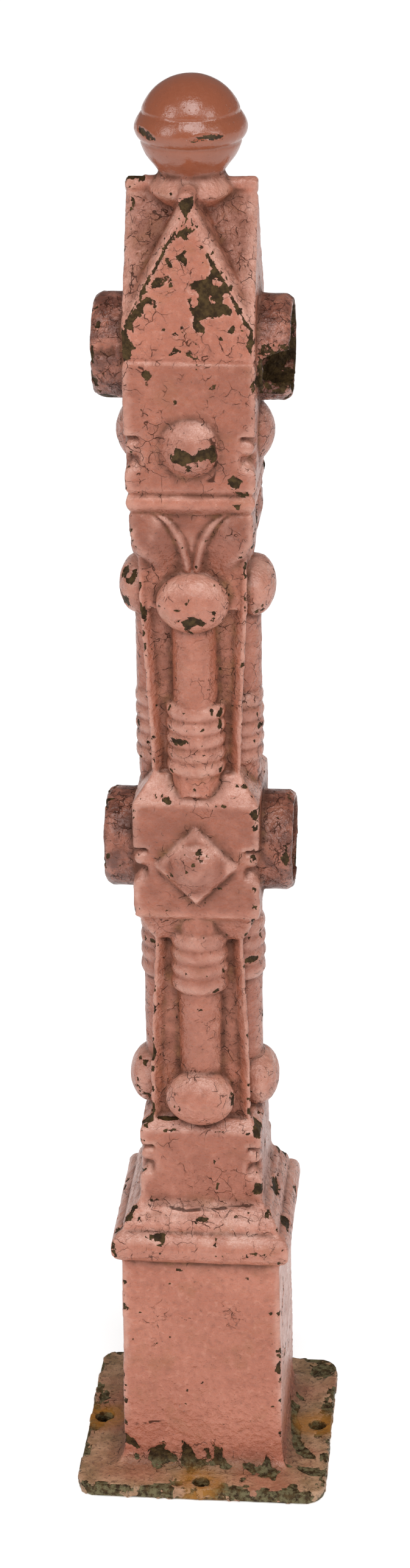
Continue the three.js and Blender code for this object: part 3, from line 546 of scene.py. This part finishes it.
def add_masks(mesh):
    """Masks that the paint reads, each with one value a vertex."""
    p, n = get_points(mesh), get_normals(mesh)
    values = np.empty(len(mesh.vertices), np.float32)
    mesh.attributes["hollow"].data.foreach_get("value", values)
    hollow = values.astype(float)
    side, z = np.abs(p[:, 0]), p[:, 2]
    reach = np.abs(p[:, :2]).max(1)
    from_axis = np.min([np.hypot(p[:, 1], z - level) for level in SOCKET_LEVELS], axis=0)
    gloss = smooth(*BALL_PAINT, z)
    body = smooth(30, 60, z) * (1 - gloss)
    # Chips, with bare iron at the broken wall, inside its socket and in the bolt holes.
    chips = np.minimum(chip_distance(p), scattered_chips(p, n, -hollow))
    chips = np.where(in_break(p) > 0.35, np.minimum(chips, -0.2), chips)
    inside = (p[:, 0] > 37) & (np.hypot(p[:, 1], z - SOCKET_LEVELS[1]) < 26.4)
    chips = np.where(inside, np.minimum(chips, -0.9 + 1.6 * fbm(p, 9, 2, 83)), chips)
    hole = np.min([np.hypot(p[:, 0] - x, p[:, 1] - y) for x, y in BOLTS], axis=0)
    bore = (hole < 6.3) * (z < 8.2)
    chips = np.where(bore, -2.0, chips)
    rust = smooth(20, 6, hole + 3.0 * noise(p, 9, 61)) * smooth(30, 12, z) * (1 - 0.8 * bore)
    # Edge of lifted paint and the open cracks.
    line = np.exp(-(line_distance(p[:, 0], z, LIFTED) / 0.7) ** 2) * (p[:, 1] < PLINTH_Y)
    wander = 1.2 * noise(p, 7, 77)
    for points in OPEN_CRACKS:
        from_crack = line_distance(p[:, 0] + wander, z + wander, points)
        line = np.maximum(line, np.exp(-(from_crack / 0.6) ** 2) * (p[:, 1] < FRONT_Y))
    # Painted shade and dirt in hollows, inside the sockets and on the roofs, and browner paint by height.
    socket = (from_axis < 26.2) & (side > 38)
    tubes = smooth(38.5, 41, side) * (from_axis < 33)
    roof = within(ROOF_ZONE, z) * smooth(0.25, 0.6, n[:, 2]) * smooth(37.5, 34, reach)
    shade_and_dirt_mask = np.maximum(np.maximum(np.clip(hollow * 1.25, 0, 1), 0.75 * socket), 0.85 * roof)
    plate = smooth(17, 9.5, z + 2.5 * fbm(p, 16, 3, 71))
    weather = sum(depth * within(((low - 4, low + 2), (high + 4, high - 2)), z) for low, high, depth in WEATHER)
    # Painted light: paler colour where light falls on tops, edges and rakes, and a painted reflection on the right
    # side low down.
    painted_light = smooth(0.05, 0.6, n[:, 2]) * body
    painted_light = np.maximum(painted_light * (1 - roof), 0.75 * smooth(0.2, 0.8, -hollow) * body)
    rake = smooth(32, 34, reach) * smooth(0.15, 0.4, np.abs(n[:, :2]).min(1)) * within(RAKE_ZONE, z)
    painted_light = np.maximum(painted_light, 0.9 * rake) * (1 - 0.8 * tubes)
    pale = 0.7 * within(PLINTH_SIDE_ZONE, z) + 0.35 * within(SHAFT_SIDE_ZONE, z)
    painted_light = np.maximum(painted_light, pale * smooth(0.5, 0.9, n[:, 0]))
    # How far the crazing opens.
    cracks = 0.35 + 0.1 * within(HEAD_ZONE, z) + 0.35 * within(STEPS_ZONE, z) - 0.3 * within(PLINTH_ZONE, z)
    cracks = cracks + 0.5 * roof + 0.35 * tubes - 0.3 * gloss
    cracks = cracks + 0.3 * smooth(0.6, 0.9, np.abs(n[:, 0])) + 0.3 * smooth(0.1, 0.5, hollow)
    cracks = np.clip(cracks, 0, 1)
    for x, level, rx, rz in FLECKS:
        fleck = np.exp(-((p[:, 0] - x) / rx) ** 2 - ((z - level) / rz) ** 2)
        cracks = cracks + 0.75 * fleck * (p[:, 1] < PLINTH_Y)
    masks = dict(chips=chips, rust=rust, shade_and_dirt_mask=shade_and_dirt_mask, plate=plate, cracks=cracks, gloss=gloss, tubes=tubes, line=line,
                 weather=weather, painted_light=painted_light)
    for name, mask in masks.items():
        set_mask(mesh, name, mask)


class Shader:
    """Short forms for the nodes of one material."""

    def __init__(self, name):
        self.material = bpy.data.materials.new(name)
        self.material.use_nodes = True
        self.tree = self.material.node_tree
        self.bsdf = self.tree.nodes["Principled BSDF"]
        self.place = self.tree.nodes.new("ShaderNodeTexCoord").outputs["Object"]

    def link(self, value, socket):
        if isinstance(value, bpy.types.NodeSocket):
            self.tree.links.new(value, socket)
        elif value is not None:
            socket.default_value = value

    def math(self, operation, a, b=None, c=None, clamp=False):
        node = self.tree.nodes.new("ShaderNodeMath")
        node.operation = operation
        node.use_clamp = clamp
        for i, value in enumerate((a, b, c)):
            self.link(value, node.inputs[i])
        return node.outputs[0]

    def span(self, value, lo, hi, out_lo=0.0, out_hi=1.0, soft=True):
        """The value carried from one range to another and held at its ends."""
        node = self.tree.nodes.new("ShaderNodeMapRange")
        node.interpolation_type = "SMOOTHSTEP" if soft else "LINEAR"
        self.link(value, node.inputs["Value"])
        for key, number in zip(("From Min", "From Max", "To Min", "To Max"), (lo, hi, out_lo, out_hi)):
            self.link(number, node.inputs[key])
        return node.outputs["Result"]

    def mix(self, factor, a, b):
        node = self.tree.nodes.new("ShaderNodeMix")
        node.data_type = "RGBA"
        self.link(factor, node.inputs["Factor"])
        self.link(a, node.inputs[6])
        self.link(b, node.inputs[7])
        return node.outputs[2]

    def mask(self, name):
        node = self.tree.nodes.new("ShaderNodeAttribute")
        node.attribute_name = name
        return node.outputs["Fac"]

    def noise(self, period, detail, rough, shift):
        """Noise with a period in millimetres; the shift sets one noise apart from another."""
        node = self.tree.nodes.new("ShaderNodeTexNoise")
        node.noise_dimensions = "4D"
        self.link(self.place, node.inputs["Vector"])
        node.inputs["W"].default_value = shift
        node.inputs["Scale"].default_value = 1000.0 / period
        node.inputs["Detail"].default_value = detail
        node.inputs["Roughness"].default_value = rough
        return node

    def bent(self, period, amount, shift):
        """The place of each point, moved about by noise, in metres."""
        colour = self.noise(period, 2.0, 0.5, shift).outputs["Color"]
        node = self.tree.nodes.new("ShaderNodeVectorMath")
        node.operation = "MULTIPLY_ADD"
        self.link(colour, node.inputs[0])
        node.inputs[1].default_value = (amount * MM,) * 3
        self.link(self.place, node.inputs[2])
        return node.outputs[0]

    def crackle(self, size, where):
        """Distance to the edges of irregular cells, in millimetres."""
        node = self.tree.nodes.new("ShaderNodeTexVoronoi")
        node.feature = "DISTANCE_TO_EDGE"
        self.link(where, node.inputs["Vector"])
        node.inputs["Scale"].default_value = 1000.0 / size
        return self.math("MULTIPLY", node.outputs["Distance"], size)

    def cells(self, size, where):
        """A value from 0 to 1 for each irregular cell."""
        node = self.tree.nodes.new("ShaderNodeTexVoronoi")
        self.link(where, node.inputs["Vector"])
        node.inputs["Scale"].default_value = 1000.0 / size
        return node.outputs["Color"]


def tone(name):
    """One of the named colours in linear light."""
    def linear(v):
        v /= 255
        return v / 12.92 if v <= 0.04045 else ((v + 0.055) / 1.055) ** 2.4
    return (*(linear(v) for v in COLOURS[name]), 1.0)


def old_paint():
    """Old paint with its clouds, dirt and painted shade, painted light, cracks and chips down to the iron, from masks
    and noise.
    """
    s = Shader("old_salmon_paint")
    chips, shade_and_dirt_mask, rust = s.mask("chips"), s.mask("shade_and_dirt_mask"), s.mask("rust")
    plate, open_cracks, gloss, tubes = s.mask("plate"), s.mask("cracks"), s.mask("gloss"), s.mask("tubes")
    line, weather, painted_light = s.mask("line"), s.mask("weather"), s.mask("painted_light")
    broad = s.noise(55, 3, 0.5, 1.0).outputs["Fac"]
    middle = s.noise(11, 4, 0.6, 2.0).outputs["Fac"]
    fine = s.noise(2.2, 3, 0.6, 3.0).outputs["Fac"]
    # Paint: salmon with paler and browner clouds.
    paint = s.mix(s.span(broad, 0.38, 0.66), tone("salmon"), tone("pale_salmon"))
    paint = s.mix(s.math("MULTIPLY", s.span(middle, 0.5, 0.74), 0.5), paint, tone("brown"))
    peel = s.noise(4.0, 3, 0.6, 13.0).outputs["Fac"]
    # Painted shade in the low spots of the lumpy paint and painted highlight on its high spots.
    paint = s.mix(s.span(peel, 0.5, 0.3, 0.0, 0.45), paint, tone("shaded_low_spot"))
    paint = s.mix(s.span(peel, 0.52, 0.7, 0.0, 0.35), paint, tone("lit_high_spot"))
    stains = s.span(s.noise(19, 4, 0.6, 17.0).outputs["Fac"], 0.52, 0.7)
    paint = s.mix(s.math("MULTIPLY", stains, 0.45), paint, tone("stain"))
    paint = s.mix(s.math("MULTIPLY", s.span(fine, 0.56, 0.8), 0.3), paint, tone("fleck"))
    paint = s.mix(s.math("MULTIPLY", weather, s.span(middle, 0.3, 0.65, 0.5, 1.0)), paint, tone("weathered"))
    # Painted light on tops, edges and rakes, and painted reflection on the right side.
    paint = s.mix(s.math("MULTIPLY", painted_light, s.span(middle, 0.3, 0.65, 0.75, 0.3)), paint, tone("painted_light_tone"))
    paint = s.mix(s.math("MULTIPLY", gloss, 0.85), paint, tone("ball"))
    # Darker paint on the sockets, partly dirt and partly painted shade on their side walls.
    paint = s.mix(s.math("MULTIPLY", tubes, s.span(middle, 0.4, 0.6, 0.2, 0.85)), paint, tone("tube"))
    pits = s.span(s.noise(1.7, 2, 0.5, 15.0).outputs["Fac"], 0.64, 0.74)
    pits = s.math("MULTIPLY", pits, s.span(middle, 0.42, 0.6))
    paint = s.mix(s.math("MULTIPLY", pits, s.math("MULTIPLY_ADD", gloss, -0.5, 0.6)), paint, tone("pit"))
    # Worn and dirty paint on the plate.
    soil = s.mix(s.span(middle, 0.36, 0.62), tone("soil"), tone("pale_soil"))
    soil = s.mix(s.math("MULTIPLY", s.span(fine, 0.52, 0.64), 0.75), soil, tone("dark_soil"))
    paint = s.mix(s.math("MULTIPLY", plate, s.span(broad, 0.36, 0.56, 0.35, 0.95)), paint, soil)
    # Painted shade and dirt in the hollows, inside the sockets and on the roofs.
    shade_and_dirt_level = s.math("MULTIPLY", shade_and_dirt_mask, s.span(middle, 0.3, 0.6, 0.45, 1.0), clamp=True)
    shade_and_filth = s.mix(s.span(s.noise(16, 3, 0.6, 11.0).outputs["Fac"], 0.5, 0.66), tone("shade_and_filth"), tone("yellow_shade_and_filth"))
    paint = s.mix(s.math("MULTIPLY", shade_and_dirt_level, 0.8), paint, shade_and_filth)
    # Cracks: two sizes of crazing that come and go, deeper ones on the sockets, and the lines with set places.
    where = s.bent(9, 11.0, 4.0)
    patch = s.noise(22, 3, 0.6, 5.0).outputs["Fac"]
    gaps = s.span(s.noise(5, 3, 0.6, 10.0).outputs["Fac"], 0.44, 0.54)
    amount = s.math("ADD", s.math("MULTIPLY", open_cracks, 0.5), patch)
    cells = s.crackle(11, where)
    open_here = s.math("MULTIPLY", s.span(amount, 0.66, 0.8), gaps)
    wide = s.math("MULTIPLY", s.span(cells, 0.22, 0.08), open_here)
    lip = s.math("MULTIPLY", s.span(cells, 1.8, 0.3), open_here)
    where_fine = s.bent(5, 6.0, 6.0)
    thin = s.math("MULTIPLY", s.span(s.crackle(4.4, where_fine), 0.15, 0.05), s.span(amount, 0.74, 0.9))
    thin = s.math("MULTIPLY", thin, gaps)
    deep = s.span(s.crackle(9, s.bent(6, 12.0, 14.0)), 0.4, 0.12)
    deep = s.math("MULTIPLY", s.math("MULTIPLY", deep, tubes), s.math("MULTIPLY", gaps, s.span(patch, 0.42, 0.54)))
    crack = s.math("MAXIMUM", s.math("MAXIMUM", wide, deep), s.span(line, 0.2, 0.6))
    paint = s.mix(s.math("MULTIPLY", thin, 0.55), paint, tone("thin_crack"))
    paint = s.mix(s.math("MULTIPLY", crack, 0.85), paint, tone("crack"))
    # Bare iron in the chips.
    ragged = s.math("MULTIPLY_ADD", s.math("SUBTRACT", s.noise(1.6, 3, 0.6, 7.0).outputs["Fac"], 0.5), 1.4, chips)
    flakes = s.math("SUBTRACT", s.cells(2.8, s.bent(3, 2.0, 12.0)), 0.5)
    ragged = s.math("MULTIPLY_ADD", flakes, 1.8, ragged)
    bare = s.span(ragged, 0.06, -0.1)
    iron = s.mix(s.span(s.noise(5, 4, 0.65, 8.0).outputs["Fac"], 0.38, 0.66), tone("iron"), tone("pale_iron"))
    mottle = s.noise(4, 4, 0.7, 16.0).outputs["Fac"]
    iron = s.mix(s.math("MULTIPLY", plate, s.span(mottle, 0.42, 0.6)), iron, tone("plate_iron"))
    colour = s.mix(bare, paint, iron)
    # Rust stains round the bolt holes.
    stain = s.math("MULTIPLY", rust, s.span(s.noise(7, 4, 0.65, 9.0).outputs["Fac"], 0.28, 0.52))
    colour = s.mix(s.math("MULTIPLY", stain, 0.9), colour, tone("rust"))
    s.link(colour, s.bsdf.inputs["Base Color"])
    rough = s.span(middle, 0.3, 0.7, 0.24, 0.4, soft=False)
    rough = s.math("MULTIPLY_ADD", gloss, -0.1, rough)
    worn = s.math("MAXIMUM", s.math("MAXIMUM", bare, shade_and_dirt_level), s.math("MULTIPLY", plate, 0.7))
    s.link(s.math("MULTIPLY_ADD", worn, 0.3, rough, clamp=True), s.bsdf.inputs["Roughness"])
    # Relief in millimetres: lumpy paint, open cracks, and the paint's thickness at the chips.
    relief = s.math("MULTIPLY", middle, s.math("MULTIPLY_ADD", gloss, -0.9, 1.3))
    relief = s.math("MULTIPLY_ADD", fine, s.math("MULTIPLY_ADD", gloss, -0.4, 0.6), relief)
    relief = s.math("MULTIPLY_ADD", peel, s.math("MULTIPLY_ADD", gloss, -1.3, 1.5), relief)
    relief = s.math("MULTIPLY_ADD", lip, 0.3, relief)
    relief = s.math("MULTIPLY_ADD", s.math("MAXIMUM", crack, s.math("MULTIPLY", thin, 0.5)), -0.5, relief)
    relief = s.math("MULTIPLY_ADD", pits, -0.2, relief)
    relief = s.math("MULTIPLY_ADD", bare, -0.35, relief)
    bump = s.tree.nodes.new("ShaderNodeBump")
    bump.inputs["Strength"].default_value = 1.0
    bump.inputs["Distance"].default_value = MM
    s.link(relief, bump.inputs["Height"])
    s.link(bump.outputs["Normal"], s.bsdf.inputs["Normal"])
    dull = s.math("MAXIMUM", s.math("MAXIMUM", bare, crack), s.math("MULTIPLY", shade_and_dirt_level, 0.7))
    shine = s.span(dull, 0.0, 1.0, 0.58, 0.12, soft=False)
    s.link(s.math("MULTIPLY_ADD", gloss, 0.12, shine), s.bsdf.inputs["Specular IOR Level"])
    return s.material


def pale_floor():
    """A wide pale floor just below the post; lengths in metres."""
    half, level, plate_rim = 40.0, -0.0006, (0.0775, 0.0795)
    s = Shader("pale_floor")
    s.bsdf.inputs["Roughness"].default_value = 0.9
    s.bsdf.inputs["Specular IOR Level"].default_value = 0.1
    s.bsdf.inputs["Emission Color"].default_value = (1, 1, 1, 1)
    # Painted shadow: the ground under the plate, seen only through the bolt holes, is dark and gives no light.
    reach = s.tree.nodes.new("ShaderNodeVectorMath")
    reach.operation = "LENGTH"
    s.link(s.place, reach.inputs[0])
    clear = s.span(reach.outputs["Value"], *plate_rim)
    s.link(s.mix(clear, (0.03, 0.025, 0.02, 1), (0.92, 0.92, 0.92, 1)), s.bsdf.inputs["Base Color"])
    s.link(s.math("MULTIPLY", clear, 0.47), s.bsdf.inputs["Emission Strength"])
    mesh = bpy.data.meshes.new("floor")
    corners = [(-half, -half, level), (half, -half, level), (half, half, level), (-half, half, level)]
    mesh.from_pydata(corners, [], [(0, 1, 2, 3)])
    mesh.materials.append(s.material)
    floor = bpy.data.objects.new("floor", mesh)
    bpy.context.scene.collection.objects.link(floor)


def soft_light(name, place, aim, width, height, power):
    data = bpy.data.lights.new(name, "AREA")
    data.shape = "RECTANGLE"
    data.size, data.size_y, data.energy = width, height, power
    light = bpy.data.objects.new(name, data)
    light.location = place
    light.rotation_euler = (Vector(aim) - Vector(place)).to_track_quat("-Z", "Y").to_euler()
    bpy.context.scene.collection.objects.link(light)


def studio():
    """Even white surroundings, a soft box on each side and a wide soft light from above the front."""
    world = bpy.data.worlds.new("studio")
    bpy.context.scene.world = world
    world.use_nodes = True
    world.node_tree.nodes["Background"].inputs["Color"].default_value = (1, 1, 1, 1)
    world.node_tree.nodes["Background"].inputs["Strength"].default_value = 0.22
    box = dict(aim=(0, 0, 0.6), width=0.7, height=1.2, power=11)
    soft_light("left_box", (-1.3, -1.2, 1.7), **box)
    soft_light("right_box", (1.4, -1.1, 1.6), **box)
    sky = bpy.data.lights.new("ceiling", "SUN")
    sky.energy, sky.angle = 1.6, math.radians(36)
    ceiling = bpy.data.objects.new("ceiling", sky)
    ceiling.rotation_euler = Vector((-0.1, 0.75, -1.0)).to_track_quat("-Z", "Y").to_euler()
    bpy.context.scene.collection.objects.link(ceiling)
    settings = bpy.context.scene.view_settings
    settings.view_transform = "Standard"
    settings.look = "None"


def camera():
    """The photograph's view, as fitted to the post: 85 mm on a 36 mm sensor along the long side."""
    azimuth, distance, height = math.radians(5.608), 2.088411, 1.396311
    pitch, pan, roll = math.radians(23.861), math.radians(-0.069), math.radians(-0.841)
    heading = azimuth + pan
    forward = Vector((-math.sin(heading) * math.cos(pitch), math.cos(heading) * math.cos(pitch), -math.sin(pitch)))
    right = Vector((math.cos(heading), math.sin(heading), 0))
    up = right.cross(forward)
    right, up = right * math.cos(roll) + up * math.sin(roll), up * math.cos(roll) - right * math.sin(roll)
    focal_px, photo_px, sensor = 6087.488, 2576, 36.0
    data = bpy.data.cameras.new("camera")
    data.sensor_width = sensor
    data.lens = focal_px * sensor / photo_px
    eye = bpy.data.objects.new("camera", data)
    place = Matrix.Translation((distance * math.sin(azimuth), -distance * math.cos(azimuth), height))
    eye.matrix_world = place @ Matrix((right, up, -forward)).transposed().to_4x4()
    bpy.context.scene.collection.objects.link(eye)
    bpy.context.scene.camera = eye


casting = build_casting()
add_masks(casting.data)
casting.data.materials.clear()
casting.data.materials.append(old_paint())
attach(casting, "root")
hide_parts("newel_post")
pale_floor()
studio()
camera()
